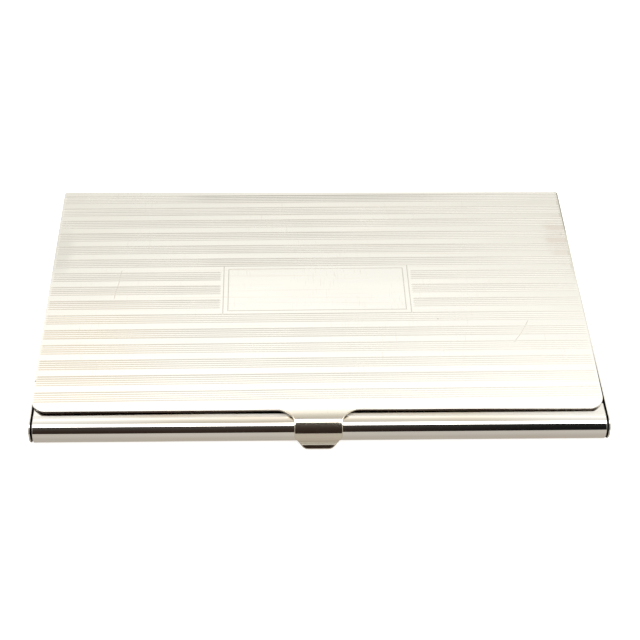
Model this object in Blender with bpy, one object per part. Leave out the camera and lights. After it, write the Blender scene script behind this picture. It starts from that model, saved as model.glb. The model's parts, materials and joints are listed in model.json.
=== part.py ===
"""Business card case: a folded silver tray, closed by end caps, with a flat lid on a barrel hinge.

Metres, +Z up, the catch tab towards -Y, the hinge towards +Y. The origin is the middle of the
bounding box on the plane that the case lies on.

The tray is one sheet: a flat lip, a round roll along the front, the floor, and a low rear wall.
The lid is one flat sheet whose front edge carries the catch tab, which wraps over the roll.
"""

import math

import bmesh
import bpy
from mathutils import Matrix

# Driving dimensions
CASE_WIDTH = 0.0930
CASE_DEPTH = 0.0580  # from the front of the roll to the rear edge of the lid
CASE_HEIGHT = 0.0051
TRAY_SHEET = 0.00045
LID_SHEET = 0.00045
CLEARANCE = 0.0003  # gap between neighbouring pieces

# Tray
LIP_DEPTH = 0.0050  # from the front of the roll to the rear edge of the lip
REAR_BEND_RADIUS = 0.0013
REAR_WALL_HEIGHT = 0.0018
CAP_THICKNESS = 0.00045

# Lid and its catch tab
LID_SETBACK = 0.00335  # from the front of the roll back to the lid's front edge
LID_FRONT_CORNER_RADIUS = 0.0023
LID_REAR_CORNER_RADIUS = 0.0003
TAB_HALF_WIDTH = 0.00385
TAB_ROOT_FILLET = 0.00275
FLARE_BEND_RADIUS = 0.0005
FLARE_ANGLE = math.radians(22)
FLARE_RUN = 0.00125
TAB_TIP_HALF_WIDTH = 0.0026
TAB_TIP_CORNER_RADIUS = 0.0005

# Hinge
BARREL_RADIUS = 0.0011
BORE_RADIUS = 0.00072
PIN_RADIUS = 0.00042
PLUG_LENGTH = 0.0010
KNUCKLE_COUNT = 7  # the odd ones belong to the tray, the even ones to the lid
LID_BEARER_WIDTH = 0.0012
LID_BEARER_THICKNESS = 0.0006
TRAY_BEARER_FRONT = 0.0016  # from the hinge axis forward to the bearer's front face
TRAY_BEARER_REAR = 0.0001  # from the hinge axis back to the bearer's rear face
TRAY_BEARER_BOTTOM = 0.0009

# Facets
BEND_STEP = math.radians(15)
CORNER_STEP = math.radians(18)
BARREL_SIDES = 24
PIN_SIDES = 16

# Worked out from the dimensions above
ROLL_RADIUS = (CASE_HEIGHT - LID_SHEET - CLEARANCE) / 2
LID_MIDDLE_Z = CASE_HEIGHT - LID_SHEET / 2
TAB_BEND_RADIUS = ROLL_RADIUS + CLEARANCE + LID_SHEET / 2
TAB_REACH = (
    TAB_BEND_RADIUS
    - ROLL_RADIUS
    + FLARE_BEND_RADIUS * (1 - math.cos(FLARE_ANGLE))
    + FLARE_RUN * math.sin(FLARE_ANGLE)
    + LID_SHEET / 2 * math.cos(FLARE_ANGLE)
)
REAR_Y = (CASE_DEPTH + TAB_REACH) / 2
FRONT_Y = REAR_Y - CASE_DEPTH
ROLL_Y = FRONT_Y + ROLL_RADIUS
LID_FRONT_Y = FRONT_Y + LID_SETBACK
HALF_WIDTH = CASE_WIDTH / 2
INNER_HALF_WIDTH = HALF_WIDTH - CAP_THICKNESS - CLEARANCE
HINGE_Y = REAR_Y - BARREL_RADIUS
HINGE_Z = CASE_HEIGHT - LID_SHEET - CLEARANCE - BARREL_RADIUS
NOTCH_RADIUS = BARREL_RADIUS + CLEARANCE


def make_material(name, colour, roughness):
    """A metal of one colour."""
    material = bpy.data.materials.new(name)
    material.use_nodes = True
    shader = material.node_tree.nodes["Principled BSDF"]
    shader.inputs["Base Color"].default_value = (*colour, 1.0)
    shader.inputs["Metallic"].default_value = 1.0
    shader.inputs["Roughness"].default_value = roughness
    return material


def add_object(name, mesh_builder, material, location=(0.0, 0.0, 0.0), parent=None):
    """Put a bmesh into the scene as a named object and shade its bends smooth."""
    bmesh.ops.recalc_face_normals(mesh_builder, faces=mesh_builder.faces)
    mesh = bpy.data.meshes.new(name)
    mesh_builder.to_mesh(mesh)
    mesh_builder.free()
    mesh.materials.append(material)
    mesh.shade_smooth()
    mesh.set_sharp_from_angle(angle=math.radians(35))
    item = bpy.data.objects.new(name, mesh)
    bpy.context.collection.objects.link(item)
    item.location = location
    item.parent = parent
    return item


def solidify(item, thickness):
    """Give a mid-surface its sheet thickness, half on each side."""
    modifier = item.modifiers.new("sheet", "SOLIDIFY")
    modifier.thickness = thickness
    modifier.offset = 0.0
    modifier.use_even_offset = True


def arc(centre, radius, start, end, step):
    """Points along an arc, both ends included, for angles in radians."""
    count = max(1, math.ceil(abs(end - start) / step - 1e-6))
    angles = [start + (end - start) * i / count for i in range(count + 1)]
    return [(centre[0] + radius * math.cos(a), centre[1] + radius * math.sin(a)) for a in angles]


def build_tray(material):
    """The folded tray: its section in the YZ plane, swept along the width."""
    half = TRAY_SHEET / 2
    roll = arc((ROLL_Y, ROLL_RADIUS), ROLL_RADIUS - half, math.pi / 2, 3 * math.pi / 2, BEND_STEP)
    bend_centre = (REAR_Y - REAR_BEND_RADIUS, REAR_BEND_RADIUS)
    rear_bend = arc(bend_centre, REAR_BEND_RADIUS - half, -math.pi / 2, 0.0, BEND_STEP)
    lip_end = (FRONT_Y + LIP_DEPTH, 2 * ROLL_RADIUS - half)
    wall_top = (REAR_Y - half, REAR_WALL_HEIGHT)
    section = [lip_end, *roll, *rear_bend, wall_top]

    builder = bmesh.new()
    verts = [builder.verts.new((-INNER_HALF_WIDTH, y, z)) for y, z in section]
    edges = [builder.edges.new(pair) for pair in zip(verts, verts[1:])]
    swept = bmesh.ops.extrude_edge_only(builder, edges=edges)["geom"]
    far_side = [v for v in swept if isinstance(v, bmesh.types.BMVert)]
    bmesh.ops.translate(builder, verts=far_side, vec=(2 * INNER_HALF_WIDTH, 0, 0))
    solidify(add_object("base_tray", builder, material), TRAY_SHEET)


def cap_outline():
    """The end plate's outline: the tray's outer section, cut away around the hinge barrel."""
    roll = arc((ROLL_Y, ROLL_RADIUS), ROLL_RADIUS, math.pi / 2, 3 * math.pi / 2, BEND_STEP)
    bend_centre = (REAR_Y - REAR_BEND_RADIUS, REAR_BEND_RADIUS)
    rear_bend = arc(bend_centre, REAR_BEND_RADIUS, -math.pi / 2, 0.0, BEND_STEP)
    notch_end = math.pi - math.asin((2 * ROLL_RADIUS - HINGE_Z) / NOTCH_RADIUS)
    notch = arc((HINGE_Y, HINGE_Z), NOTCH_RADIUS, 3 * math.pi / 2, notch_end, BEND_STEP)
    return [*roll, *rear_bend, (REAR_Y, REAR_WALL_HEIGHT), *notch]


def build_end_cap(name, side, material):
    """One flat end plate, side -1 for left and +1 for right."""
    builder = bmesh.new()
    inner_x = side * (HALF_WIDTH - CAP_THICKNESS)
    face = builder.faces.new([builder.verts.new((inner_x, y, z)) for y, z in cap_outline()])
    extruded = bmesh.ops.extrude_face_region(builder, geom=[face])["geom"]
    outer_face = [v for v in extruded if isinstance(v, bmesh.types.BMVert)]
    bmesh.ops.translate(builder, verts=outer_face, vec=(side * CAP_THICKNESS, 0, 0))
    add_object(name, builder, material)


def tab_stations():
    """The tab's bends as (developed distance from the lid's front edge, y, z)."""
    stations = [(0.0, LID_FRONT_Y, LID_MIDDLE_Z)]
    run = LID_FRONT_Y - ROLL_Y
    wrap = arc((ROLL_Y, ROLL_RADIUS), TAB_BEND_RADIUS, math.pi / 2, math.pi, BEND_STEP)
    wrap_step = TAB_BEND_RADIUS * math.pi / 2 / (len(wrap) - 1)
    stations += [(run + i * wrap_step, y, z) for i, (y, z) in enumerate(wrap)]
    run += TAB_BEND_RADIUS * math.pi / 2

    flare_centre = (ROLL_Y - TAB_BEND_RADIUS - FLARE_BEND_RADIUS, ROLL_RADIUS)
    flare = arc(flare_centre, FLARE_BEND_RADIUS, 0.0, -FLARE_ANGLE, BEND_STEP)
    flare_step = FLARE_BEND_RADIUS * FLARE_ANGLE / (len(flare) - 1)
    stations += [(run + i * flare_step, y, z) for i, (y, z) in enumerate(flare)][1:]
    run += FLARE_BEND_RADIUS * FLARE_ANGLE

    tip_y = flare[-1][0] - FLARE_RUN * math.sin(FLARE_ANGLE)
    tip_z = flare[-1][1] - FLARE_RUN * math.cos(FLARE_ANGLE)
    stations.append((run + FLARE_RUN, tip_y, tip_z))
    return stations


def lid_half_outline(tab_length):
    """Right half of the lid's flat blank: x, and the distance forward of the lid's front edge."""
    depth = REAR_Y - LID_FRONT_Y
    rear = (HALF_WIDTH - LID_REAR_CORNER_RADIUS, LID_REAR_CORNER_RADIUS - depth)
    front = (HALF_WIDTH - LID_FRONT_CORNER_RADIUS, -LID_FRONT_CORNER_RADIUS)
    root = (TAB_HALF_WIDTH + TAB_ROOT_FILLET, TAB_ROOT_FILLET)
    tip = (TAB_TIP_HALF_WIDTH - TAB_TIP_CORNER_RADIUS, tab_length - TAB_TIP_CORNER_RADIUS)
    taper_start = tab_length - FLARE_RUN
    quarter = math.pi / 2
    return [
        *arc(rear, LID_REAR_CORNER_RADIUS, -quarter, 0.0, 2 * CORNER_STEP),
        *arc(front, LID_FRONT_CORNER_RADIUS, 0.0, quarter, CORNER_STEP),
        *arc(root, TAB_ROOT_FILLET, -quarter, -2 * quarter, CORNER_STEP),
        (TAB_HALF_WIDTH, taper_start),
        *arc(tip, TAB_TIP_CORNER_RADIUS, math.radians(40), quarter, CORNER_STEP),
    ]


def place_on_path(distance, stations):
    """Bent position of a point of the blank, between the two stations beside it."""
    if distance <= 0:
        return LID_FRONT_Y - distance, LID_MIDDLE_Z
    for (s0, y0, z0), (s1, y1, z1) in zip(stations, stations[1:]):
        if distance <= s1:
            part = (distance - s0) / (s1 - s0)
            return y0 + part * (y1 - y0), z0 + part * (z1 - z0)
    return stations[-1][1], stations[-1][2]


def build_lid(material, parent):
    """The lid sheet with its tab: a flat blank, scored at each bend, then bent."""
    stations = tab_stations()
    half = lid_half_outline(stations[-1][0])
    outline = half + [(-x, s) for x, s in reversed(half)]

    builder = bmesh.new()
    builder.faces.new([builder.verts.new((x, s, 0)) for x, s in outline])
    for distance, _, _ in stations[:-1]:
        everything = [*builder.verts, *builder.edges, *builder.faces]
        bmesh.ops.bisect_plane(
            builder, geom=everything, plane_co=(0, distance, 0), plane_no=(0, 1, 0), dist=1e-7
        )
    for vert in builder.verts:
        y, z = place_on_path(vert.co.y, stations)
        vert.co = (vert.co.x, y - HINGE_Y, z - HINGE_Z)
    solidify(add_object("lid_panel", builder, material, parent=parent), LID_SHEET)


def tube(outer_radius, bore_radius, length, sides):
    """A tube along X, centred on the origin, turned from its wall section."""
    half = length / 2
    corners = [(-half, bore_radius), (half, bore_radius), (half, outer_radius), (-half, outer_radius)]
    builder = bmesh.new()
    verts = [builder.verts.new((x, 0, r)) for x, r in corners]
    edges = [builder.edges.new(pair) for pair in zip(verts, verts[1:] + verts[:1])]
    bmesh.ops.spin(
        builder, geom=verts + edges, cent=(0, 0, 0), axis=(1, 0, 0),
        angle=2 * math.pi, steps=sides, use_merge=True,
    )
    bmesh.ops.remove_doubles(builder, verts=builder.verts, dist=1e-7)
    return builder


def rod(radius, length):
    """A solid rod along X with flat ends, centred on the origin."""
    builder = bmesh.new()
    bmesh.ops.create_cone(
        builder, cap_ends=True, segments=PIN_SIDES, radius1=radius, radius2=radius, depth=length
    )
    turn = Matrix.Rotation(math.pi / 2, 3, "Y")
    bmesh.ops.rotate(builder, verts=builder.verts, cent=(0, 0, 0), matrix=turn)
    return builder


def strip(half_length, y_range, z_range):
    """A straight bar along X with a rectangular section."""
    builder = bmesh.new()
    bmesh.ops.create_cube(builder, size=1.0)
    size = (2 * half_length, y_range[1] - y_range[0], z_range[1] - z_range[0])
    middle = (0, sum(y_range) / 2, sum(z_range) / 2)
    bmesh.ops.scale(builder, verts=builder.verts, vec=size)
    bmesh.ops.translate(builder, verts=builder.verts, vec=middle)
    return builder


def build_hinge(tray_material, lid_material, pin_material, lid_pivot):
    """Barrel hinge along the rear: knuckles, their bearers, the pin and the plugs at its ends."""
    knuckle = (CASE_WIDTH - CLEARANCE * (KNUCKLE_COUNT - 1)) / KNUCKLE_COUNT
    for index in range(KNUCKLE_COUNT):
        middle_x = -HALF_WIDTH + knuckle / 2 + index * (knuckle + CLEARANCE)
        builder = tube(BARREL_RADIUS, BORE_RADIUS, knuckle, BARREL_SIDES)
        number = index // 2 + 1
        if index % 2 == 0:
            place = (middle_x, HINGE_Y, HINGE_Z)
            add_object(f"base_knuckle_{number}", builder, tray_material, place)
        else:
            place = (middle_x, 0, 0)
            add_object(f"lid_knuckle_{number}", builder, lid_material, place, lid_pivot)

    hinge_place = (0, HINGE_Y, HINGE_Z)
    tray_y = (-TRAY_BEARER_FRONT, TRAY_BEARER_REAR)
    tray_z = (TRAY_BEARER_BOTTOM - HINGE_Z, -BARREL_RADIUS - CLEARANCE)
    tray_bearer = strip(INNER_HALF_WIDTH, tray_y, tray_z)
    add_object("base_hinge_bearer", tray_bearer, tray_material, hinge_place)

    lid_y = (-NOTCH_RADIUS - LID_BEARER_WIDTH, -NOTCH_RADIUS)
    lid_z = (BARREL_RADIUS - LID_BEARER_THICKNESS, BARREL_RADIUS)
    lid_bearer = strip(INNER_HALF_WIDTH, lid_y, lid_z)
    add_object("lid_hinge_bearer", lid_bearer, lid_material, parent=lid_pivot)

    pin_length = CASE_WIDTH - 2 * (PLUG_LENGTH + CLEARANCE)
    add_object("hinge_pin", rod(PIN_RADIUS, pin_length), pin_material, hinge_place)
    for name, side in (("pin_plug_left", -1), ("pin_plug_right", 1)):
        place = (side * (HALF_WIDTH - PLUG_LENGTH / 2), HINGE_Y, HINGE_Z)
        add_object(name, rod(PIN_RADIUS, PLUG_LENGTH), tray_material, place)


def build_case():
    for item in list(bpy.data.objects):
        bpy.data.objects.remove(item)

    tray_silver = make_material("tray_silver", (0.90, 0.88, 0.84), 0.12)
    lid_silver = make_material("lid_silver", (0.91, 0.89, 0.85), 0.15)
    pin_steel = make_material("pin_steel", (0.60, 0.59, 0.57), 0.30)

    lid_pivot = bpy.data.objects.new("lid_pivot", None)
    bpy.context.collection.objects.link(lid_pivot)
    lid_pivot.location = (0, HINGE_Y, HINGE_Z)

    build_tray(tray_silver)
    build_end_cap("end_cap_left", -1, tray_silver)
    build_end_cap("end_cap_right", 1, tray_silver)
    build_lid(lid_silver, lid_pivot)
    build_hinge(tray_silver, lid_silver, pin_steel, lid_pivot)


build_case()
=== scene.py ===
import json
import math
import random

import bmesh
import bpy
from mathutils import Matrix, Vector


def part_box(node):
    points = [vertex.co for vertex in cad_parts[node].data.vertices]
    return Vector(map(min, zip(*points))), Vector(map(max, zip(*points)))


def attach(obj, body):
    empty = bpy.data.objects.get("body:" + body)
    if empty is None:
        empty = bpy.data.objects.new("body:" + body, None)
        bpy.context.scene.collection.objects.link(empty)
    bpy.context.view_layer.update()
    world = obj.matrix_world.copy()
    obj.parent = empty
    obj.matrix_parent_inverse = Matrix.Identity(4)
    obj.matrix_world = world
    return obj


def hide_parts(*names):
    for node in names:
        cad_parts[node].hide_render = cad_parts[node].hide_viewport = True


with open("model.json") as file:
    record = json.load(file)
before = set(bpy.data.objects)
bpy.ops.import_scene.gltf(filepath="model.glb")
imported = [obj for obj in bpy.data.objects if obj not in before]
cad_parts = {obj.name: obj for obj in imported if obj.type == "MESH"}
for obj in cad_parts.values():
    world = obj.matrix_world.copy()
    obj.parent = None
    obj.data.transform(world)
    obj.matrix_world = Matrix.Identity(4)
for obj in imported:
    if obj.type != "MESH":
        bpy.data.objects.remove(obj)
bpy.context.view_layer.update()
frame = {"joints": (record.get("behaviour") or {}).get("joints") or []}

MM = 0.001

# Sheet and edge sizes
LID_SHEET = 0.42 * MM
TRAY_SHEET = 0.45 * MM
EDGE_ROUND = 0.10 * MM
LID_EDGE_ROUND = 0.06 * MM
TAB_EDGE_ROUND = 0.14 * MM
STRIP_EDGE_ROUND = 0.08 * MM
BEND_STEP = math.radians(5)
CORNER_STEP = math.radians(9)
TURNING_STEP = math.radians(22.5)
SHARP_ANGLE = math.radians(35)

# Tray and end caps
LIP_DEPTH = 5.0 * MM  # from the front of the roll to the rear edge of the lip
REAR_WALL_HEIGHT = 1.8 * MM
REAR_BEND_RADIUS = 1.3 * MM
TRAY_EDGE_TIP = 0.12 * MM
CAP_TIP = 0.15 * MM
CAP_THICKNESS = 0.26 * MM
SEAM_WIDTH = 0.32 * MM
CAP_PLUG_DEPTH = 0.60 * MM
CAP_NOTCH_ROOM = 0.20 * MM
FIT = 0.05 * MM  # gap between pieces that touch on the real case

# Hinge
KNUCKLES = (("base", "case", 4), ("lid", "lid", 3))
KNUCKLE_BORE = 0.46 * MM
AXIS_HOLE = 0.01 * MM  # keeps the turned profiles off the axis

# The case's main lines, read from the frame
_, LID_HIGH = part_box("lid_panel")
TRAY_LOW, TRAY_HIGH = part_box("base_tray")
HALF_WIDTH = LID_HIGH.x
REAR_Y = TRAY_HIGH.y
FRONT_Y = TRAY_LOW.y
LID_TOP = LID_HIGH.z
LIP_TOP = TRAY_HIGH.z
ROLL_RADIUS = LIP_TOP / 2
HINGE_Y, HINGE_Z = frame["joints"][0]["pos_m"][1:]

# Lid and catch tab; the lid's right side closes in towards the front, and the tab is a little off centre
LID_SETBACK = 3.35 * MM
LID_TAPER = 0.62 * MM
TAPER_CURVE = 4  # how late the engraved field follows that side
LID_LEFT_EASE = 0.08 * MM
TAB_CENTRE_X = -0.50 * MM
LID_FRONT_Y = FRONT_Y + LID_SETBACK
LID_DEPTH = REAR_Y - LID_FRONT_Y
FRONT_CORNER_RADIUS = 2.6 * MM
REAR_CORNER_RADIUS = 0.35 * MM
TAB_HALF_WIDTH = 3.85 * MM
TAB_ROOT_FILLET = 2.75 * MM
TAB_TIP_HALF_WIDTH = 2.30 * MM
TAB_TAPER_LENGTH = 1.95 * MM
TAB_TAPER_ROUND = 0.9 * MM
TAB_TIP_ROUND = 1.3 * MM
# The tab's bends after its flat start: radius of the outer face, and the face's slope at the end
TAB_FLAT = 0.60 * MM
TAB_CREASE_Z = 1.77 * MM
TAB_BENDS = (
    (3.2 * MM, 66), (4.6 * MM, 58.5), (2.95 * MM, 26), (3.15 * MM, -3), (0.6 * MM, 24), (2.4 * MM, 50),
)

# The lid's front edge is bent down a little, which narrows the seam over the lip
FRONT_SAG = 0.12 * MM
FRONT_SAG_MORE = 0.09 * MM  # added at the right
FRONT_SAG_RIGHT = 23 * MM  # where the added part starts
FRONT_SAG_RIGHT_RAMP = 18 * MM
FRONT_SAG_LENGTH = 15 * MM
FRONT_SAG_ROWS = 15
FRONT_SAG_START = 6 * MM  # from the tab's middle
FRONT_SAG_RAMP = 9 * MM
FRONT_SAG_POINTS = tuple(
    step * MM for step in (7.5, 9, 11, 13, 15, 20, 23, 25.5, 28, 30.5, 33, 35.5, 38, 40.5, 43)
)

# Engine turning: bands of fine lines along the width, cut slightly askew
BAND_COUNT = 15
LINES_PER_BAND = 5
BAND_PITCH = 3.53 * MM
LINE_SPACING = 0.473 * MM
FIRST_LINE_INSET = 0.94 * MM
LINE_HALF_WIDTH = 0.15 * MM
LINE_SLOPE = math.tan(math.radians(14))
FIRST_LINE_GAIN = 1.35
LINE_END_X = HALF_WIDTH - 0.30 * MM
LINE_RUN_OUT = 0.2 * MM
ENGRAVING_SEED = 7
WEAR_STEP = 6.2 * MM
WEAR_START = 10 * MM  # from the rear edge
WEAR_FRONT = 0.58
WEAR_RIGHT = 0.62
ENGRAVING_TURN = math.radians(0.45)

# Scratches of the lid, and greyer or darker patches on it, in millimetres
LONG_SCRATCHES = (((-34.2, 8.3), (-35.1, 0.4)), ((36.0, -4.5), (33.1, -10.9)))  # start, end
LID_BLOTS = (  # centre, size, raggedness, amount, tone
    ((-45.6, 13.0), (3.4, 8.0), 0.8, 0.75, (0.80, 0.80, 0.79)),
    ((44.6, 16.5), (3.6, 8.5), 1.2, 0.8, (0.84, 0.79, 0.76)),
    ((45.3, 17.5), (0.45, 0.30), 0.0, 1.0, (0.20, 0.20, 0.22)),
    ((-46.15, -18.5), (0.35, 0.22), 0.0, 1.0, (0.20, 0.20, 0.22)),
)

# Cartouche: a plain panel that interrupts the middle bands
CARTOUCHE_BANDS = (6, 7, 8)
FRAME_LINE_X = 16.25 * MM
PANEL_LINE_X = 15.4 * MM
PANEL_LINE_INSET = 0.85 * MM
PANEL_LINE_HALF_WIDTH = 0.09 * MM
PANEL_LINE_SLOPE = math.tan(math.radians(24))
BAND_STOP_X = 16.7 * MM


# ---------------------------------------------------------------- outlines and solids


def arc(centre, radius, start, end, step):
    """Points along an arc, both ends included."""
    count = max(1, math.ceil(abs(end - start) / step - 1e-6))
    angles = [start + (end - start) * i / count for i in range(count + 1)]
    return [(centre[0] + radius * math.cos(a), centre[1] + radius * math.sin(a)) for a in angles]


def rounded(corners, step):
    """A closed outline from (u, v, radius) corners, each corner with a radius turned into an arc."""
    points = []
    for index, (u, v, radius) in enumerate(corners):
        here = Vector((u, v))
        if radius == 0:
            points.append((u, v))
            continue
        before = (Vector(corners[index - 1][:2]) - here).normalized()
        after = (Vector(corners[(index + 1) % len(corners)][:2]) - here).normalized()
        half = before.angle(after) / 2
        centre = here + (before + after).normalized() * radius / math.sin(half)
        first = here + before * radius / math.tan(half) - centre
        last = here + after * radius / math.tan(half) - centre
        start = math.atan2(first.y, first.x)
        sweep = math.atan2(first.cross(last), first.dot(last))
        points += arc(centre, radius, start, start + sweep, step)
    return [p for i, p in enumerate(points) if math.dist(p, points[i - 1]) > 1e-7]


def inset(outline, distances):
    """The counter-clockwise outline moved inwards, each point by its distance, with mitred corners."""
    moved = []
    for index, point in enumerate(outline):
        before, here = Vector(outline[index - 1]), Vector(point)
        after = Vector(outline[(index + 1) % len(outline)])
        d1, d2 = (here - before).normalized(), (after - here).normalized()
        n1, n2 = Vector((d1.y, -d1.x)), Vector((d2.y, -d2.x))
        mitre = (n1 + n2) / (1 + n1.dot(n2))
        moved.append(tuple(here - mitre * distances[index]))
    return moved


def edge_rings(low, high):
    """Rings that round both edges of a plate: inset and height in edge radii, from a face."""
    quarter = [math.radians(a) for a in (0, 22.5, 45, 67.5, 90)]
    rings = [(1.25, 0, low)]
    rings += [(1 - math.sin(a), 1 - math.cos(a), low) for a in quarter]
    rings += [(1 - math.cos(a), math.sin(a) - 1, high) for a in quarter]
    return rings + [(1.25, 0, high)]


def stack_rings(builder, outline, rings, radii, place):
    """Quads between successive insets of an outline; returns the rings' vertices."""
    loops = []
    for across, up, face in rings:
        points = inset(outline, [across * radius for radius in radii])
        loops.append([builder.verts.new(place(u, v, face + up * r)) for (u, v), r in zip(points, radii)])
    for lower, upper in zip(loops, loops[1:]):
        for i in range(len(lower)):
            builder.faces.new((lower[i - 1], lower[i], upper[i], upper[i - 1]))
    return loops


def plate(outline, low, high, radius, place, plug=None):
    """A closed plate with rounded edges; plug is (inset, level) of a block behind its low face."""
    builder = bmesh.new()
    rings = edge_rings(low, high)
    if plug:
        across, level = plug[0] / radius, plug[1]
        rings = [(across, 0, level), (across, 0, low)] + rings
    loops = stack_rings(builder, outline, rings, [radius] * len(outline), place)
    builder.faces.new(loops[0])
    builder.faces.new(loops[-1])
    return builder


def along_x(u, v, level):
    """Places an outline drawn in Y and Z at a level along X."""
    return (level, u, v)


def along_minus_x(u, v, level):
    """The same at a level towards -X."""
    return (-level, u, v)


def upright(u, v, level):
    """Places an outline drawn in X and Y at a height."""
    return (u, v, level)


def turned(profile, centre_x, sides):
    """A closed (x, radius) profile turned about the hinge axis."""
    builder = bmesh.new()
    verts = [builder.verts.new((centre_x + x, HINGE_Y, HINGE_Z + r)) for x, r in profile]
    edges = [builder.edges.new(pair) for pair in zip(verts, verts[1:] + verts[:1])]
    bmesh.ops.spin(
        builder, geom=verts + edges, cent=(0, HINGE_Y, HINGE_Z), axis=(1, 0, 0),
        angle=2 * math.pi, steps=sides, use_merge=True,
    )
    bmesh.ops.remove_doubles(builder, verts=builder.verts, dist=1e-7)
    return builder


def finish_piece(name, builder, body, materials, replaces, sharp=SHARP_ANGLE):
    """Makes the object, shades it, ties it to its body, and hides the CAD node it shows."""
    bmesh.ops.recalc_face_normals(builder, faces=builder.faces)
    mesh = bpy.data.meshes.new(name)
    builder.to_mesh(mesh)
    builder.free()
    for material in materials:
        mesh.materials.append(material)
    mesh.shade_smooth()
    if sharp:
        mesh.set_sharp_from_angle(angle=sharp)
    piece = bpy.data.objects.new(name, mesh)
    bpy.context.collection.objects.link(piece)
    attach(piece, body)
    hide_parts(replaces)


# ---------------------------------------------------------------- materials


class Graph:
    """Short calls for building a material's node tree."""

    def __init__(self, tree):
        self.tree = tree

    def add(self, kind, **settings):
        node = self.tree.nodes.new(kind)
        for key, value in settings.items():
            setattr(node, key, value)
        return node

    def plug(self, source, socket):
        if hasattr(source, "is_linked"):
            self.tree.links.new(source, socket)
        else:
            socket.default_value = source

    def math(self, operation, a, b=0.0):
        node = self.add("ShaderNodeMath", operation=operation)
        self.plug(a, node.inputs[0])
        self.plug(b, node.inputs[1])
        return node.outputs[0]

    def vector(self, operation, a, b=(0, 0, 0)):
        node = self.add("ShaderNodeVectorMath", operation=operation)
        self.plug(a, node.inputs[0])
        self.plug(b, node.inputs[1])
        return node.outputs["Value" if operation in ("LENGTH", "DOT_PRODUCT") else 0]

    def place(self):
        """Position in the piece's own frame, in millimetres."""
        coordinate = self.add("ShaderNodeTexCoord").outputs["Object"]
        return self.vector("MULTIPLY", coordinate, (1000, 1000, 1000))

    def stretch(self, place, scale, angle=0.0):
        node = self.add("ShaderNodeMapping")
        self.plug(place, node.inputs["Vector"])
        node.inputs["Rotation"].default_value = (0, 0, math.radians(angle))
        node.inputs["Scale"].default_value = scale
        return node.outputs[0]

    def noise(self, place, scale, detail=2.0, roughness=0.5):
        node = self.add("ShaderNodeTexNoise")
        self.plug(place, node.inputs["Vector"])
        node.inputs["Scale"].default_value = scale
        node.inputs["Detail"].default_value = detail
        node.inputs["Roughness"].default_value = roughness
        return node.outputs["Fac"]

    def dots(self, place, scale):
        """Distance to the nearest of a scatter of random points."""
        node = self.add("ShaderNodeTexVoronoi", feature="F1")
        self.plug(place, node.inputs["Vector"])
        node.inputs["Scale"].default_value = scale
        return node.outputs["Distance"]

    def fade(self, value, low, high, to_low=0.0, to_high=1.0):
        """Smooth step of a value between low and high."""
        node = self.add("ShaderNodeMapRange", interpolation_type="SMOOTHSTEP")
        for socket, number in zip(node.inputs, (value, low, high, to_low, to_high)):
            self.plug(number, socket)
        return node.outputs["Result"]

    def blend(self, amount, a, b):
        """One colour where the amount is 0, the other where it is 1."""
        node = self.add("ShaderNodeMix", data_type="RGBA")
        self.plug(amount, node.inputs["Factor"])
        for value, socket in ((a, node.inputs["A"]), (b, node.inputs["B"])):
            colours = [s for s in node.inputs if s.type == "RGBA" and s.name == socket.name]
            self.plug((*value, 1.0) if isinstance(value, tuple) else value, colours[0])
        return next(s for s in node.outputs if s.type == "RGBA")

    def bump(self, height, distance, strength=1.0, normal=None):
        node = self.add("ShaderNodeBump")
        node.inputs["Strength"].default_value = strength
        node.inputs["Distance"].default_value = distance
        self.plug(height, node.inputs["Height"])
        if normal:
            self.plug(normal, node.inputs["Normal"])
        return node.outputs["Normal"]


def metal(name, colour, roughness, normal_of, roughness_of, colour_of):
    """A metal whose colour, roughness and normal are worked out by the given functions."""
    material = bpy.data.materials.new(name)
    material.use_nodes = True
    graph = Graph(material.node_tree)
    shader = material.node_tree.nodes["Principled BSDF"]
    shader.inputs["Metallic"].default_value = 1.0
    place = graph.place()
    graph.plug(colour_of(graph, place, colour), shader.inputs["Base Color"])
    graph.plug(roughness_of(graph, place, roughness), shader.inputs["Roughness"])
    graph.plug(normal_of(graph, place), shader.inputs["Normal"])
    return material


def axes(graph, place):
    """The X, Y and Z outputs of a position."""
    node = graph.add("ShaderNodeSeparateXYZ")
    graph.plug(place, node.inputs[0])
    return node.outputs


def hairlines(graph, place, angle, length, width, cover):
    """Fine straight scratches in one direction: 1 on a scratch, 0 elsewhere."""
    grain = graph.noise(graph.stretch(place, (1 / width, 1 / length, 1 / width), angle), 1.0, 0.0)
    line = graph.fade(grain, 0.72, 0.78)
    return graph.math("MULTIPLY", line, graph.fade(graph.noise(place, 0.12, 2.0), cover, cover + 0.1))


def long_scratch(graph, place, start, end, width):
    """One scratch between two points of the piece, a little wavy: 1 on it, 0 elsewhere."""
    wave = graph.math("MULTIPLY", graph.math("SUBTRACT", graph.noise(place, 0.15, 1.0), 0.5), 1.6)
    span = Vector(end) - Vector(start)
    length = span.length
    unit = span / length
    offset = graph.vector("SUBTRACT", place, (start[0], start[1], 0.0))
    along = graph.vector("DOT_PRODUCT", offset, (unit.x, unit.y, 0.0))
    side = graph.vector("DOT_PRODUCT", offset, (-unit.y, unit.x, 0.0))
    side = graph.math("ABSOLUTE", graph.math("ADD", side, wave))
    line = graph.fade(side, width * 0.4, width, 1.0, 0.0)
    begun = graph.fade(along, 0.0, 0.8)
    ended = graph.fade(along, length - 0.8, length)
    return graph.math("MULTIPLY", line, graph.math("SUBTRACT", begun, ended))


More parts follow.
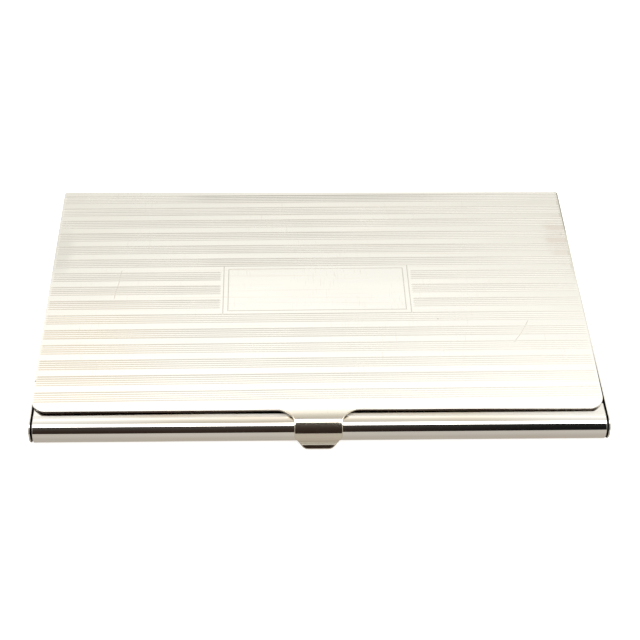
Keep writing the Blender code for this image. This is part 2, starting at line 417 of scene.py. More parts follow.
def panel_mask(graph, place):
    """1 on the cartouche's plain panel, 0 elsewhere."""
    x, y, _ = axes(graph, place)
    _, _, rear, front = cartouche_rows()
    side = PANEL_LINE_X / MM
    aside = graph.fade(graph.math("ABSOLUTE", x), side - 0.6, side - 0.1, 1.0, 0.0)
    away = graph.math("ABSOLUTE", graph.math("SUBTRACT", y, (rear + front) / 2 / MM))
    half = (rear - front) / 2 / MM
    return graph.math("MULTIPLY", aside, graph.fade(away, half - 0.6, half - 0.1, 1.0, 0.0))


def blot(graph, place, centre, size, ragged):
    """A soft-edged patch round a point of the lid: 1 in its middle."""
    offset = graph.vector("SUBTRACT", place, (centre[0], centre[1], 0.0))
    offset = graph.vector("MULTIPLY", offset, (1 / size[0], 1 / size[1], 0.0))
    away = graph.vector("LENGTH", offset)
    rough = graph.math("MULTIPLY", graph.math("SUBTRACT", graph.noise(place, 0.35, 3.0), 0.5), ragged)
    return graph.fade(graph.math("ADD", away, rough), 0.3, 1.0, 1.0, 0.0)


def tones(colour, *factors):
    """A colour with each channel multiplied by its own factor."""
    return tuple(c * k for c, k in zip(colour, factors))


def silver_colour(graph, place, colour):
    """Clouds of warmer and greyer silver, streaked along the width."""
    clouds = graph.noise(graph.stretch(place, (0.35, 1.0, 1.0)), 0.10, 3.0)
    base = graph.blend(graph.fade(clouds, 0.35, 0.65), colour, tones(colour, 0.955, 0.96, 0.97))
    streaks = graph.noise(graph.stretch(place, (0.035, 1.6, 1.0)), 1.0, 3.0)
    return graph.blend(graph.fade(streaks, 0.52, 0.80), base, tones(colour, 0.93, 0.90, 0.87))


def silver_roughness(graph, place, roughness):
    """Handling marks: slightly rougher clouds."""
    return graph.fade(graph.noise(place, 0.13, 4.0, 0.6), 0.35, 0.7, roughness * 0.8, roughness * 1.3)


def tray_roughness(graph, place, roughness):
    """Polished, but rubbed dull in a narrow line on the lip, just in front of the lid's edge."""
    x, y, z = axes(graph, place)
    edge = LID_FRONT_Y / MM
    rear = graph.math("ADD", y, graph.fade(x, -44.0, -18.0, 0.40, 0.24))
    line = graph.math(
        "MULTIPLY", graph.fade(y, edge - 1.0, edge - 0.8), graph.fade(rear, edge, edge + 0.06, 1.0, 0.0)
    )
    rubbed = graph.math("MULTIPLY", graph.fade(z, 4.2, 4.3), line)
    added = graph.math("MULTIPLY", rubbed, 0.62)
    return graph.math("ADD", silver_roughness(graph, place, roughness), added)


def silver_normal(graph, place):
    """The faint waviness of polished sheet."""
    return graph.bump(graph.noise(place, 0.16, 1.0), 0.00003, 0.35)


def lid_scratches(graph, place):
    """The scratches of the lid: two long ones, fine hairlines, and upright ones in the cartouche."""
    left, right = [long_scratch(graph, place, start, end, 0.10) for start, end in LONG_SCRATCHES]
    fine = hairlines(graph, place, 15, 5.0, 0.16, 0.50)
    marks = graph.math("MAXIMUM", graph.math("MAXIMUM", left, right), graph.math("MULTIPLY", fine, 0.35))
    polished = hairlines(graph, place, 84, 2.6, 0.11, 0.42)
    polished = graph.math("MULTIPLY", polished, graph.math("MULTIPLY", panel_mask(graph, place), 0.45))
    return graph.math("MAXIMUM", marks, polished)


def rear_edge(graph, x, y, width, start, end):
    """A strip along the rear part of the lid's right edge, which leans in towards the front."""
    lean = LID_TAPER / LID_DEPTH
    across = graph.math("SUBTRACT", x, graph.math("MULTIPLY", y, lean))
    inner = (HALF_WIDTH - REAR_Y * lean) / MM - width
    return graph.math("MULTIPLY", graph.fade(across, inner - 0.12, inner), graph.fade(y, start, end))


def front_edge_tarnish_and_shade(graph, x, y, z):
    """Dark tarnish and painted shade on the lid's front edge, where it meets the lip; thinner at the right,
    none by the corners and the tab.
    """
    edge = LID_FRONT_Y / MM
    top = (LID_TOP - FRONT_SAG) / MM
    level = graph.fade(x, 22.0, 42.0, top - 0.06, top - 0.24)
    below = graph.fade(graph.math("SUBTRACT", z, level), -0.02, 0.02, 1.0, 0.0)
    front = graph.fade(y, edge + 0.15, edge + 0.8, 1.0, 0.0)
    aside = graph.math("ABSOLUTE", graph.math("SUBTRACT", x, TAB_CENTRE_X / MM))
    return graph.math("MULTIPLY", below, graph.math("MULTIPLY", front, graph.fade(aside, 4.6, 6.2)))


def lid_colour(graph, place, colour):
    """Silver, with painted shade beside the side edges towards the rear, greyer on the tab, a painted dark
    line at the tab's crease, tarnish and painted shade on the front edge, strips along the right edge's
    rear part, darker scratches and specks.
    """
    x, y, z = axes(graph, place)
    base = silver_colour(graph, place, colour)
    # Painted shade: the lid is darker towards its side edges in the rear half, which leaves the front
    # middle lighter, where more light falls
    sides = graph.fade(graph.math("ABSOLUTE", x), 20.0, 46.0)
    sides = graph.math("MULTIPLY", sides, graph.fade(y, -12.0, 12.0))
    base = graph.blend(sides, base, tones(colour, 0.93, 0.93, 0.925))
    for centre, size, ragged, amount, tone in LID_BLOTS:
        patch = graph.math("MULTIPLY", blot(graph, place, centre, size, ragged), amount)
        base = graph.blend(patch, base, tones(colour, *tone))
    tab = graph.fade(y, LID_FRONT_Y / MM - 0.6, LID_FRONT_Y / MM + 0.2, 1.0, 0.0)
    base = graph.blend(tab, base, tones(colour, 0.86, 0.82, 0.75))
    # Painted shade: a dark line along the tab's crease, a painted reflection of the floor's shade just in
    # front of the case
    from_crease = graph.math("ABSOLUTE", graph.math("SUBTRACT", z, TAB_CREASE_Z / MM))
    crease_painted_shade = graph.fade(from_crease, 0.04, 0.16, 0.55, 0.0)
    base = graph.blend(crease_painted_shade, base, tones(colour, 0.58, 0.52, 0.45))
    # Near-black on the lid's front edge: tarnish and painted shade of the seam over the lip
    base = graph.blend(front_edge_tarnish_and_shade(graph, x, y, z), base, (0.035, 0.020, 0.014))
    base = graph.blend(rear_edge(graph, x, y, 0.55, 3.0, 10.0), base, tones(colour, 0.80, 0.79, 0.76))
    base = graph.blend(rear_edge(graph, x, y, 0.14, 16.0, 20.0), base, tones(colour, 0.35, 0.34, 0.32))
    specks = graph.fade(graph.dots(place, 0.11), 0.010, 0.022, 0.7, 0.0)
    base = graph.blend(specks, base, tones(colour, 0.45, 0.42, 0.40))
    scratches = graph.math("MULTIPLY", lid_scratches(graph, place), 0.5)
    return graph.blend(scratches, base, tones(colour, 0.62, 0.56, 0.48))


def lid_normal(graph, place):
    """The sheet's waviness, with the scratches cut into it."""
    return graph.bump(lid_scratches(graph, place), -0.000006, 0.5, silver_normal(graph, place))


def cut_colour(graph, place, colour):
    """Tarnish in the engraved lines: most at the rear, least at the front, brown at the left front."""
    x, y, _ = axes(graph, place)
    patchy = graph.fade(graph.noise(graph.stretch(place, (0.05, 0.6, 1.0)), 1.0, 3.0), 0.3, 0.7, 0.6, 1.4)
    rearmost = graph.math("MULTIPLY", graph.fade(y, 25.0, 28.5), graph.fade(x, -30.0, -18.0))
    rearmost = graph.math("MULTIPLY", rearmost, graph.fade(x, 10.0, 38.0, 0.8, 0.3))
    amount = graph.math("MULTIPLY", graph.fade(y, -20.0, 20.0, 0.0, 0.25), patchy)
    amount = graph.math("MAXIMUM", amount, rearmost)
    tarnished = graph.blend(amount, tones(colour, 1.0, 1.0, 0.985), tones(colour, 0.62, 0.62, 0.62))
    brown = graph.fade(x, -38.0, -20.0, 1.0, 0.10)
    brown = graph.math("MULTIPLY", graph.fade(y, -10.0, 8.0, 1.0, 0.0), brown)
    return graph.blend(graph.math("MULTIPLY", brown, 0.8), tarnished, tones(colour, 0.98, 0.90, 0.79))


def inner_tarnish_and_gap_shade(graph, place, colour):
    """The lid's inner face, with a dark strip behind the front edge, most at the left: tarnish and painted
    shade of the gap over the lip.
    """
    x, y, _ = axes(graph, place)
    edge = LID_FRONT_Y / MM
    ragged = graph.math("MULTIPLY", graph.noise(graph.stretch(place, (0.2, 1.0, 1.0)), 1.0, 2.0), 1.6)
    # Painted shade and tarnish: the inner face is made near-black where it lies in the gap over the lip
    strip = graph.fade(graph.math("SUBTRACT", y, ragged), edge + 0.2, edge + 1.0, 1.0, 0.0)
    amount = graph.fade(x, 20.0, 42.0, 1.0, 0.15)
    amount = graph.math("MULTIPLY", graph.fade(x, -28.0, -16.0, 1.0, 0.55), amount)
    base = silver_colour(graph, place, colour)
    return graph.blend(graph.math("MULTIPLY", strip, amount), base, tones(colour, 0.05, 0.035, 0.025))


def lip_colour(graph, place, colour):
    """Silver with brownish streaks along the front lip's top, none at its ends: a painted reflection,
    darker in the middle of the lip.
    """
    x, _, z = axes(graph, place)
    base = silver_colour(graph, place, colour)
    middle = graph.math("MULTIPLY", graph.fade(x, -40.0, -24.0), graph.fade(x, 22.0, 42.0, 1.0, 0.0))
    lip = graph.math("MULTIPLY", middle, graph.fade(z, 4.0, 4.3))
    streak = graph.noise(graph.stretch(place, (0.05, 1.3, 1.0)), 1.0, 3.0)
    # Painted reflection: brownish streaks on the lip's top in the middle, which stand in for a darker
    # overhead reflected there
    painted_reflection = graph.math("MULTIPLY", lip, graph.fade(streak, 0.35, 0.62, 0.15, 0.9))
    return graph.blend(painted_reflection, base, tones(colour, 0.86, 0.80, 0.71))


def seam_tarnish_and_shade_colour(graph, place, colour):
    """Near-black tarnish and painted shade in the seams' gaps, with slightly lighter patches."""
    patches = graph.fade(graph.noise(place, 0.9, 3.0), 0.4, 0.7)
    return graph.blend(patches, colour, tones(colour, 1.9, 1.7, 1.5))


def make_materials():
    """The case's metals by their use."""
    plain = (silver_normal, silver_roughness, silver_colour)
    lid = (lid_normal, silver_roughness, lid_colour)
    cut = (silver_normal, silver_roughness, cut_colour)
    tray = (silver_normal, tray_roughness, lip_colour)
    under = (silver_normal, silver_roughness, inner_tarnish_and_gap_shade)
    seam = (silver_normal, silver_roughness, seam_tarnish_and_shade_colour)
    return {
        "lid": metal("lid_polished_silver", (0.955, 0.94, 0.895), 0.08, *lid),
        "cut": metal("lid_engraved_silver", (0.96, 0.94, 0.90), 0.22, *cut),
        "tray": metal("tray_polished_silver", (0.95, 0.93, 0.89), 0.04, *tray),
        "under": metal("lid_inner_silver", (0.90, 0.88, 0.82), 0.28, *under),
        "inside": metal("inner_satin_silver", (0.86, 0.84, 0.78), 0.36, *plain),
        "seam": metal("seam_tarnish_and_shade", (0.012, 0.009, 0.008), 0.55, *seam),
        "hinge": metal("hinge_silver", (0.90, 0.88, 0.83), 0.14, *plain),
        "pin": metal("pin_wire", (0.62, 0.61, 0.58), 0.25, *plain),
    }


# ---------------------------------------------------------------- lid


def tab_path():
    """The outer face of the tab as (length, start slope, end slope) stretches from the lid's edge."""
    stretches = [(TAB_FLAT, math.pi / 2, math.pi / 2)]
    for radius, degrees in TAB_BENDS:
        start, end = stretches[-1][2], math.radians(degrees)
        stretches.append((radius * abs(end - start), start, end))
    return stretches


def tab_point(distance, depth):
    """Bent place of a blank point: distance forward of the lid's edge, depth below the outer face."""
    y, z, slope = LID_FRONT_Y, LID_TOP, math.pi / 2
    for length, start, end in tab_path():
        run = min(distance, length)
        slope = start + (end - start) * run / length
        if start == end:
            y -= run * math.sin(start)
            z -= run * math.cos(start)
        else:
            radius = length / (end - start)
            y -= radius * (math.cos(start) - math.cos(slope))
            z -= radius * (math.sin(slope) - math.sin(start))
        distance -= run
        if distance <= 0:
            break
    return y + depth * math.cos(slope), z - depth * math.sin(slope)


def lid_outline():
    """The flat blank of the lid and its tab, counter-clockwise from above."""
    front = LID_FRONT_Y
    tip = front - sum(length for length, _, _ in tab_path())
    tab = [
        (TAB_TIP_HALF_WIDTH, tip, TAB_TIP_ROUND),
        (TAB_HALF_WIDTH, tip + TAB_TAPER_LENGTH, TAB_TAPER_ROUND),
        (TAB_HALF_WIDTH, front, TAB_ROOT_FILLET),
    ]
    corners = [(TAB_CENTRE_X + x, y, radius) for x, y, radius in tab]
    corners += [
        *[(TAB_CENTRE_X + x, front, 0.0) for x in FRONT_SAG_POINTS],
        (HALF_WIDTH - LID_TAPER, front, FRONT_CORNER_RADIUS),
        (HALF_WIDTH, REAR_Y, REAR_CORNER_RADIUS),
        (-HALF_WIDTH, REAR_Y, REAR_CORNER_RADIUS),
        (-HALF_WIDTH + LID_LEFT_EASE, front, FRONT_CORNER_RADIUS),
        *[(TAB_CENTRE_X - x, front, 0.0) for x in reversed(FRONT_SAG_POINTS)],
    ]
    corners += [(TAB_CENTRE_X - x, y, radius) for x, y, radius in reversed(tab)]
    return rounded(corners, CORNER_STEP)


def ramp(amount):
    """An even rise from 0 to 1 that starts and ends softly."""
    amount = min(max(amount, 0.0), 1.0)
    return amount * amount * (3 - 2 * amount)


def front_sag(x, y):
    """How much the lid's front edge is bent down, more at the right and not at the tab."""
    forward = (LID_FRONT_Y + FRONT_SAG_LENGTH - y) / FRONT_SAG_LENGTH
    if forward <= 0:
        return 0.0
    aside = ramp((abs(x - TAB_CENTRE_X) - FRONT_SAG_START) / FRONT_SAG_RAMP)
    right = ramp((x - FRONT_SAG_RIGHT) / FRONT_SAG_RIGHT_RAMP)
    return (FRONT_SAG + FRONT_SAG_MORE * right) * aside * forward * forward


def wear(x, y):
    """How much of a line's depth is left: less towards the front and the right."""
    toward_front = min(max((REAR_Y - WEAR_START - y) / LID_DEPTH, 0.0), 1.0)
    toward_right = min(max(x / HALF_WIDTH, 0.0), 1.0)
    return (1 - WEAR_FRONT * toward_front) * (1 - WEAR_RIGHT * toward_right)


def line_rows():
    """(centre y, band number) of every engraved line, from the rear to the front."""
    rows = []
    for band in range(BAND_COUNT):
        for line in range(LINES_PER_BAND):
            rows.append((REAR_Y - FIRST_LINE_INSET - band * BAND_PITCH - line * LINE_SPACING, band))
    return rows


def cartouche_rows():
    """Rear and front y of the frame lines, then of the panel's own lines."""
    rows = line_rows()
    rear = min(y for y, band in rows if band == CARTOUCHE_BANDS[0] - 1)
    front = max(y for y, band in rows if band == CARTOUCHE_BANDS[-1] + 1)
    return rear, front, rear - PANEL_LINE_INSET, front + PANEL_LINE_INSET


def engraving_grid():
    """Columns and rows of the engraved field, and the depth of each of its points."""
    draw = random.Random(ENGRAVING_SEED)
    frame_rear, frame_front, panel_rear, panel_front = cartouche_rows()
    full_end, stop = LINE_END_X - LINE_RUN_OUT, BAND_STOP_X + LINE_RUN_OUT
    across = {}
    last_band = None
    for y, band in line_rows():
        broken = band in CARTOUCHE_BANDS
        spans = [(-full_end, -stop), (stop, full_end)] if broken else [(-full_end, full_end)]
        slope = LINE_SLOPE * (FIRST_LINE_GAIN if band != last_band else draw.uniform(0.75, 1.15))
        across[y] = (LINE_HALF_WIDTH * draw.uniform(0.88, 1.12), slope, spans)
        last_band = band
    for y in (panel_rear, panel_front):
        across[y] = (PANEL_LINE_HALF_WIDTH, PANEL_LINE_SLOPE, [(-PANEL_LINE_X, PANEL_LINE_X)])
    cross_lines = {}
    for side in (-1, 1):
        cross_lines[side * FRAME_LINE_X] = (frame_front, frame_rear)
        cross_lines[side * PANEL_LINE_X] = (panel_front, panel_rear)

    rows = {y + k * across[y][0] for y in across for k in (-1, 0, 1)}
    columns = {x + k * PANEL_LINE_HALF_WIDTH for x in cross_lines for k in (-1, 0, 1)}
    # the wear changes along the lines; the second and third steps are left out beside the cartouche
    columns |= {i * WEAR_STEP for i in range(-7, 8) if abs(i) not in (2, 3)}
    for x in (LINE_END_X, full_end, BAND_STOP_X, stop):
        columns |= {x, -x}

    def depth(x, y):
        deep = 0.0
        if y in across:
            half_width, slope, spans = across[y]
            if any(start - 1e-9 <= x <= end + 1e-9 for start, end in spans):
                deep = half_width * slope * wear(x, y)
        if x in cross_lines and cross_lines[x][0] <= y <= cross_lines[x][1]:
            deep = max(deep, PANEL_LINE_HALF_WIDTH * PANEL_LINE_SLOPE)
        return deep

    return sorted(columns), sorted(rows), depth


def lid_top_field(builder):
    """The engraved field of the lid's top face; returns the edges round it."""
    columns, rows, depth = engraving_grid()
    skew = math.tan(ENGRAVING_TURN)
    grid = []
    for y in rows:
        taper = LID_TAPER * (REAR_Y - y) / LID_DEPTH
        row = []
        for x in columns:
            moved = x - taper * max(x / HALF_WIDTH, 0) ** TAPER_CURVE
            row.append(builder.verts.new((moved, y + x * skew, -depth(x, y))))
        grid.append(row)
    for lower, upper in zip(grid, grid[1:]):
        for i in range(1, len(columns)):
            corners = (lower[i - 1], lower[i], upper[i], upper[i - 1])
            face = builder.faces.new(corners)
            face.material_index = 1 if any(vert.co.z < 0 for vert in corners) else 0
    return [edge for edge in builder.edges if edge.is_boundary]


def cut_across(builder, point, normal):
    """Split every face that the plane crosses, so that the lid can bend there."""
    everything = [*builder.verts, *builder.edges, *builder.faces]
    bmesh.ops.bisect_plane(builder, geom=everything, plane_co=point, plane_no=normal, dist=1e-7)


def lid_blank(builder):
    """The lid as a flat sheet: the engraved field, the face round it, the edges and the inner face."""
    field_edges = lid_top_field(builder)
    for edge in builder.edges:
        edge.smooth = not any(face.material_index for face in edge.link_faces)
    outline = lid_outline()
    tab_start = LID_FRONT_Y - TAB_ROOT_FILLET / 3
    radii = [TAB_EDGE_ROUND if v < tab_start else LID_EDGE_ROUND for _, v in outline]
    loops = stack_rings(builder, outline, edge_rings(-LID_SHEET, 0.0), radii, upright)
    ring = loops[-1]
    ring_edges = [builder.edges.get((ring[i - 1], ring[i])) for i in range(len(ring))]
    bmesh.ops.triangle_fill(builder, edges=ring_edges + field_edges, use_beauty=True)
    builder.faces.new(loops[0])


def bend_lid(builder):
    """Bends the flat blank's tab and front edge, and lifts it to its height."""
    for step in range(1, FRONT_SAG_ROWS):
        cut_across(builder, (0, LID_FRONT_Y + FRONT_SAG_LENGTH * step / FRONT_SAG_ROWS, 0), (0, 1, 0))
    for step in FRONT_SAG_POINTS:
        for side in (-1, 1):
            cut_across(builder, (TAB_CENTRE_X + side * step, 0, 0), (1, 0, 0))
    distance = 0.0
    for length, start, end in tab_path():
        count = max(1, math.ceil(abs(end - start) / BEND_STEP))
        for index in range(count):
            cut_across(builder, (0, LID_FRONT_Y - distance - length * index / count, 0), (0, 1, 0))
        distance += length
    for vert in builder.verts:
        if vert.co.y < LID_FRONT_Y:
            vert.co.y, vert.co.z = tab_point(LID_FRONT_Y - vert.co.y, -vert.co.z)
        else:
            vert.co.z += LID_TOP - front_sag(vert.co.x, vert.co.y)


def build_lid(materials):
    """The lid and its catch tab, one sheet with three finishes."""
    builder = bmesh.new()
    lid_blank(builder)
    bend_lid(builder)
    under = LID_TOP - LID_SHEET / 2
    for face in builder.faces:
        face.normal_update()
        if face.material_index == 0 and face.calc_center_median().z < under and abs(face.normal.z) > 0.9:
            face.material_index = 2
    finish_piece(
        "lid_sheet", builder, "lid",
        [materials["lid"], materials["cut"], materials["under"]], "lid_panel", sharp=None,
    )


# ---------------------------------------------------------------- tray and end caps


def build_tray(materials):
    """The folded tray sheet, swept between the end caps."""
    sheet, tip = TRAY_SHEET, TRAY_EDGE_TIP
    lip_end = FRONT_Y + LIP_DEPTH
    section = rounded(
        [
            (lip_end, LIP_TOP, tip),
            (FRONT_Y, LIP_TOP, ROLL_RADIUS),
            (FRONT_Y, 0, ROLL_RADIUS),
            (REAR_Y, 0, REAR_BEND_RADIUS),
            (REAR_Y, REAR_WALL_HEIGHT, tip),
            (REAR_Y - sheet, REAR_WALL_HEIGHT, tip),
            (REAR_Y - sheet, sheet, REAR_BEND_RADIUS - sheet),
            (FRONT_Y + sheet, sheet, ROLL_RADIUS - sheet),
            (FRONT_Y + sheet, LIP_TOP - sheet, ROLL_RADIUS - sheet),
            (lip_end, LIP_TOP - sheet, tip),
        ],
        BEND_STEP,
    )
    end_x = HALF_WIDTH - CAP_THICKNESS - SEAM_WIDTH
    builder = plate(section, -end_x, end_x, EDGE_ROUND, along_x)
    builder.normal_update()
    skin = sheet * 0.6  # faces nearer than this to the outer surface are not inner faces
    for face in builder.faces:
        middle = face.calc_center_median()
        roll = math.hypot(min(middle.y - FRONT_Y - ROLL_RADIUS, 0), middle.z - ROLL_RADIUS)
        clear_of_rear = middle.y < REAR_Y - skin
        inside = roll < ROLL_RADIUS - skin and clear_of_rear and abs(middle.x) < end_x - EDGE_ROUND
        face.material_index = 1 if inside else 0
    finish_piece(
        "tray_sheet", builder, "case", [materials["tray"], materials["inside"]], "base_tray",
    )


def build_end_caps(materials):
    """End plates with rounded rims, and a plug on each that closes the seam behind its rim."""
    barrel_low, barrel_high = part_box("base_knuckle_1")
    notch_radius = (barrel_high.z - barrel_low.z) / 2 + CAP_NOTCH_ROOM
    top_angle = math.pi - math.asin((LIP_TOP - HINGE_Z) / notch_radius)
    notch = arc((HINGE_Y, HINGE_Z), notch_radius, top_angle, 1.5 * math.pi, CORNER_STEP)
    outline = rounded(
        [
            (FRONT_Y, LIP_TOP, ROLL_RADIUS),
            (FRONT_Y, 0, ROLL_RADIUS),
            (REAR_Y, 0, REAR_BEND_RADIUS),
            (REAR_Y, REAR_WALL_HEIGHT, CAP_TIP),
            *[(y, z, 0) for y, z in reversed(notch)],
        ],
        BEND_STEP,
    )
    inner = HALF_WIDTH - CAP_THICKNESS
    plug_inset = TRAY_SHEET + FIT
    for name, place in (("end_cap_left", along_minus_x), ("end_cap_right", along_x)):
        builder = plate(outline, inner, HALF_WIDTH, EDGE_ROUND, place, (plug_inset, inner - CAP_PLUG_DEPTH))
        for face in builder.faces:
            # The faces behind the rim, seen down the seam's gap, get the near-black seam colour: tarnish
            # and painted shade
            behind_rim = abs(face.calc_center_median().x) < inner + 0.01 * MM
            face.material_index = 1 if behind_rim else 0
        finish_piece(
            name + "_rim", builder, "case", [materials["tray"], materials["seam"]], name,
        )


# ---------------------------------------------------------------- hinge


def turned_box(node, bore, radius, bore_round, outer_round, step, sides):
    """A tube as long as a CAD node's box, turned about the hinge axis, with rounded rims."""
    low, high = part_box(node)
    half = (high.x - low.x) / 2
    corners = [
        (-half, bore, bore_round), (half, bore, bore_round),
        (half, radius, outer_round), (-half, radius, outer_round),
    ]
    return turned(rounded(corners, step), (low.x + high.x) / 2, sides)


def box_radius(node):
    """Half the height of a CAD node's box."""
    low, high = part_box(node)
    return (high.z - low.z) / 2


def build_knuckles(materials):
    """The barrel's knuckles, in turn on the tray and on the lid."""
    for side, body, count in KNUCKLES:
        for number in range(1, count + 1):
            node = f"{side}_knuckle_{number}"
            builder = turned_box(
                node, KNUCKLE_BORE, box_radius(node), 0.05 * MM, 0.16 * MM, TURNING_STEP, 48
            )
            piece = f"{side}_barrel_{number}"
            finish_piece(piece, builder, body, [materials["hinge"]], node)


def build_bearers(materials):
    """Gutter strips that carry the knuckles."""
    end_x = HALF_WIDTH - CAP_THICKNESS - CAP_PLUG_DEPTH - FIT
    low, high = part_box("lid_hinge_bearer")
    lid_under = LID_TOP - LID_SHEET
    strip = rounded(
        [
            (low.y, low.z, 0.25 * MM),
            (high.y, low.z, 0.08 * MM),
            (high.y, lid_under, 0),
            (low.y, lid_under, 0),
        ],
        CORNER_STEP,
    )
    builder = plate(strip, -end_x, end_x, STRIP_EDGE_ROUND, along_x)
    finish_piece("lid_gutter", builder, "lid", [materials["hinge"]], "lid_hinge_bearer")

    low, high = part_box("base_hinge_bearer")
    wall = REAR_Y - TRAY_SHEET
    strip = rounded(
        [
            (low.y, TRAY_SHEET, 0),
            (wall, TRAY_SHEET, 0.9 * MM),
            (wall, 1.5 * MM, 0.1 * MM),
            (high.y, high.z, 0.2 * MM),
            (low.y, high.z, 0.2 * MM),
        ],
        CORNER_STEP,
    )
    builder = plate(strip, -end_x, end_x, STRIP_EDGE_ROUND, along_x)
    finish_piece("base_gutter", builder, "case", [materials["hinge"]], "base_hinge_bearer")


def build_hinge_pin(materials):
    """The wire through the barrel, and the two plugs that close its ends."""
    radius = box_radius("hinge_pin")
    wire = turned_box("hinge_pin", AXIS_HOLE, radius, 0, 0.1 * MM, math.radians(30), 24)
    finish_piece("pin_wire", wire, "case", [materials["pin"]], "hinge_pin")
    for name in ("pin_plug_left", "pin_plug_right"):
        plug = turned_box(name, AXIS_HOLE, radius, 0, 0.2 * MM, TURNING_STEP, 32)
        finish_piece(name + "_dome", plug, "case", [materials["hinge"]], name)


# ---------------------------------------------------------------- studio


CAMERA_PLACE = (-0.00802, -0.16810, 0.16671)
CAMERA_PITCH = 44.65  # degrees below the horizon
CAMERA_YAW = 2.94  # degrees to the right of +Y
CAMERA_ROLL = 1.79
CAMERA_LENS = 75.7  # millimetres, on a sensor 36 mm wide

# The surrounding light by degrees above the horizon
SKY = (
    (0, (0.60, 0.57, 0.52)),
    (20, (0.66, 0.64, 0.59)),
    (38, (0.88, 0.86, 0.80)),
    (49, (1.28, 1.27, 1.23)),
    (55, (1.14, 1.12, 1.07)),
    (61, (0.98, 0.96, 0.91)),
    (70, (0.84, 0.82, 0.77)),
    (80, (0.71, 0.68, 0.63)),
    (90, (0.64, 0.61, 0.56)),
)

SOFTBOX_PLACE = (0.0, FRONT_Y - 0.177, 0.500)
SOFTBOX_SIZE = (0.9, 0.274)
SOFTBOX_WATTS = 1.6

FLOOR_REACH = 3.0
FLOOR_LEVEL = -0.01 * MM
FLOOR_LIFT = 0.66
# Colours of the floor's glowing copy that only the metal sees: painted shade of the floor, deeper in front
# of the roll
FLOOR_SHADE_FAR = (0.56, 0.52, 0.47)
FLOOR_SHADE_NEAR = (0.48, 0.44, 0.385)
FLOOR_SHADE_NEAR_FROM = 7 * MM  # in front of the roll

# The dark flag in front of the roll
FLAG_GAP = 8 * MM
FLAG_HALF_WIDTH = 62 * MM
FLAG_LOW = 3.45 * MM
FLAG_HIGH = 20 * MM
FLAG_TAB_HIGH = 29 * MM  # the flag is higher in front of the tab
FLAG_TAB_LEFT = -4.5 * MM
FLAG_TAB_RIGHT = 4.7 * MM
FLAG_SEEN_FROM = 4.0 * MM  # height of the metal that reflects it
FLAG_REACH = 12 * MM  # level distance up to which the flag is seen
FLAG_TIP_LOW = 1.6 * MM
FLAG_TIP_REACH = 7.1 * MM  # the same for the part below FLAG_LOW, which only the tab's tip sees


def build_camera():
    """The camera of the main view."""
    camera = bpy.data.cameras.new("camera")
    camera.lens = CAMERA_LENS
    camera.sensor_width = 36.0
    camera.clip_start = 0.005
    holder = bpy.data.objects.new("camera", camera)
    bpy.context.collection.objects.link(holder)
    turn = (
        Matrix.Rotation(math.radians(-CAMERA_YAW), 4, "Z")
        @ Matrix.Rotation(math.radians(90 - CAMERA_PITCH), 4, "X")
        @ Matrix.Rotation(math.radians(CAMERA_ROLL), 4, "Z")
    )
    holder.matrix_world = Matrix.Translation(CAMERA_PLACE) @ turn
    bpy.context.scene.camera = holder


def build_world():
    """A soft surrounding light that depends on the height above the horizon."""
    world = bpy.data.worlds.new("studio")
    world.use_nodes = True
    bpy.context.scene.world = world
    graph = Graph(world.node_tree)
    direction = graph.add("ShaderNodeTexCoord").outputs["Generated"]
    height = graph.math("ARCSINE", axes(graph, direction)["Z"])
    sky = graph.add("ShaderNodeValToRGB")
    graph.plug(graph.math("DIVIDE", height, math.pi / 2), sky.inputs["Fac"])
    elements = sky.color_ramp.elements
    while len(elements) < len(SKY):
        elements.new(0.5)
    for element, (degrees, colour) in zip(elements, SKY):
        element.position = degrees / 90
        element.color = (*colour, 1.0)
    graph.plug(sky.outputs["Color"], world.node_tree.nodes["Background"].inputs["Color"])


def build_softbox():
    """A wide soft light over the front edge."""
    light = bpy.data.lights.new("softbox", "AREA")
    light.shape = "RECTANGLE"
    light.size, light.size_y = SOFTBOX_SIZE
    light.energy = SOFTBOX_WATTS
    light.color = (1.0, 0.985, 0.96)
    holder = bpy.data.objects.new("softbox", light)
    bpy.context.collection.objects.link(holder)
    holder.location = SOFTBOX_PLACE
    aim = Vector((0, FRONT_Y, 0)) - holder.location
    holder.rotation_euler = aim.to_track_quat("-Z", "Y").to_euler()
    holder.visible_camera = False


def stage_sheet(name, corners, material):
    """One flat face that belongs to the studio, not to the object."""
    mesh = bpy.data.meshes.new(name)
    mesh.from_pydata(corners, [], [tuple(range(len(corners)))])
    mesh.materials.append(material)
    sheet = bpy.data.objects.new(name, mesh)
    bpy.context.collection.objects.link(sheet)
    return sheet


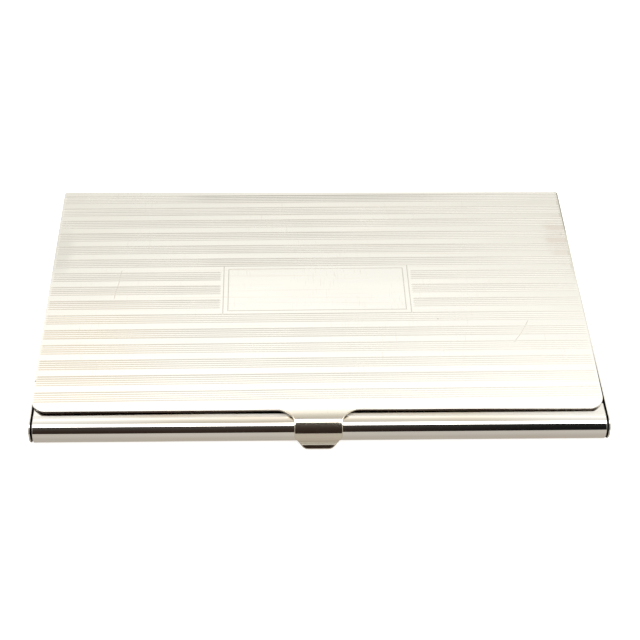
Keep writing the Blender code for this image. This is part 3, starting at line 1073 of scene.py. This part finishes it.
def build_floor():
    """Pale floor, evenly bright to the camera; in the metal's reflections it is a darker, warmer glowing
    copy: painted shade of the floor, deeper near the case.
    """
    material = bpy.data.materials.new("pale_floor")
    material.use_nodes = True
    graph = Graph(material.node_tree)
    material.node_tree.nodes.remove(material.node_tree.nodes["Principled BSDF"])
    diffuse = graph.add("ShaderNodeBsdfDiffuse")
    diffuse.inputs["Color"].default_value = (0.75, 0.75, 0.75, 1.0)
    lift = graph.add("ShaderNodeEmission")
    lift.inputs["Strength"].default_value = FLOOR_LIFT
    white = graph.add("ShaderNodeAddShader")
    graph.plug(diffuse.outputs[0], white.inputs[0])
    graph.plug(lift.outputs[0], white.inputs[1])
    # Painted shade: the floor as the metal reflects it, a glowing darker colour, deeper near the case
    reflected_floor_shade = graph.add("ShaderNodeEmission")
    seen = graph.add("ShaderNodeLightPath").outputs["Is Camera Ray"]
    mix = graph.add("ShaderNodeMixShader")
    graph.plug(seen, mix.inputs["Fac"])
    _, y, _ = axes(graph, graph.place())
    near = graph.fade(y, (FRONT_Y - FLOOR_SHADE_NEAR_FROM) / MM, FRONT_Y / MM)
    graph.plug(graph.blend(near, FLOOR_SHADE_FAR, FLOOR_SHADE_NEAR), reflected_floor_shade.inputs["Color"])
    graph.plug(reflected_floor_shade.outputs[0], mix.inputs[1])
    graph.plug(white.outputs[0], mix.inputs[2])
    graph.plug(mix.outputs[0], material.node_tree.nodes["Material Output"].inputs["Surface"])
    signs = ((-1, -1), (1, -1), (1, 1), (-1, 1))
    stage_sheet("floor", [(i * FLOOR_REACH, j * FLOOR_REACH, FLOOR_LEVEL) for i, j in signs], material)


def build_flag():
    """A dark strip in front, seen only in the metal just behind it: the dark line along the roll."""
    material = bpy.data.materials.new("dark_flag")
    material.use_nodes = True
    graph = Graph(material.node_tree)
    material.node_tree.nodes.remove(material.node_tree.nodes["Principled BSDF"])
    x, _, z = axes(graph, graph.place())
    up = graph.fade(z, FLAG_SEEN_FROM / MM, FLAG_HIGH / MM)
    right = graph.fade(x, -10.0, 45.0)
    bottom = graph.blend(right, (0.030, 0.019, 0.014), (0.008, 0.008, 0.008))
    top = graph.blend(right, (0.075, 0.066, 0.060), (0.024, 0.025, 0.023))
    glow = graph.add("ShaderNodeEmission")
    graph.plug(graph.blend(up, bottom, top), glow.inputs["Color"])
    ray = graph.math("MULTIPLY", graph.add("ShaderNodeLightPath").outputs["Ray Length"], 1 / MM)
    rise = graph.math("SUBTRACT", z, FLAG_SEEN_FROM / MM)
    level = graph.math("SUBTRACT", graph.math("POWER", ray, 2.0), graph.math("MULTIPLY", rise, rise))
    near = graph.math("LESS_THAN", level, (FLAG_REACH / MM) ** 2)
    nearest = graph.math("LESS_THAN", level, (FLAG_TIP_REACH / MM) ** 2)
    shown = graph.math("MAXIMUM", nearest, graph.math("GREATER_THAN", z, FLAG_LOW / MM))
    near = graph.math("MULTIPLY", near, shown)
    mix = graph.add("ShaderNodeMixShader")
    graph.plug(near, mix.inputs["Fac"])
    graph.plug(graph.add("ShaderNodeBsdfTransparent").outputs[0], mix.inputs[1])
    graph.plug(glow.outputs[0], mix.inputs[2])
    graph.plug(mix.outputs[0], material.node_tree.nodes["Material Output"].inputs["Surface"])
    outline = (
        (-FLAG_HALF_WIDTH, FLAG_TIP_LOW),
        (FLAG_HALF_WIDTH, FLAG_TIP_LOW),
        (FLAG_HALF_WIDTH, FLAG_HIGH),
        (FLAG_TAB_RIGHT, FLAG_HIGH),
        (FLAG_TAB_RIGHT, FLAG_TAB_HIGH),
        (FLAG_TAB_LEFT, FLAG_TAB_HIGH),
        (FLAG_TAB_LEFT, FLAG_HIGH),
        (-FLAG_HALF_WIDTH, FLAG_HIGH),
    )
    flag = stage_sheet("dark_flag", [(x, FRONT_Y - FLAG_GAP, z) for x, z in outline], material)
    flag.visible_camera = False
    flag.visible_diffuse = False
    flag.visible_shadow = False


# ---------------------------------------------------------------- assembly


def build_scene():
    bpy.context.scene.view_settings.view_transform = "Standard"
    build_camera()
    build_world()
    build_softbox()
    build_floor()
    build_flag()

    materials = make_materials()
    build_lid(materials)
    build_tray(materials)
    build_end_caps(materials)
    build_knuckles(materials)
    build_bearers(materials)
    build_hinge_pin(materials)


build_scene()
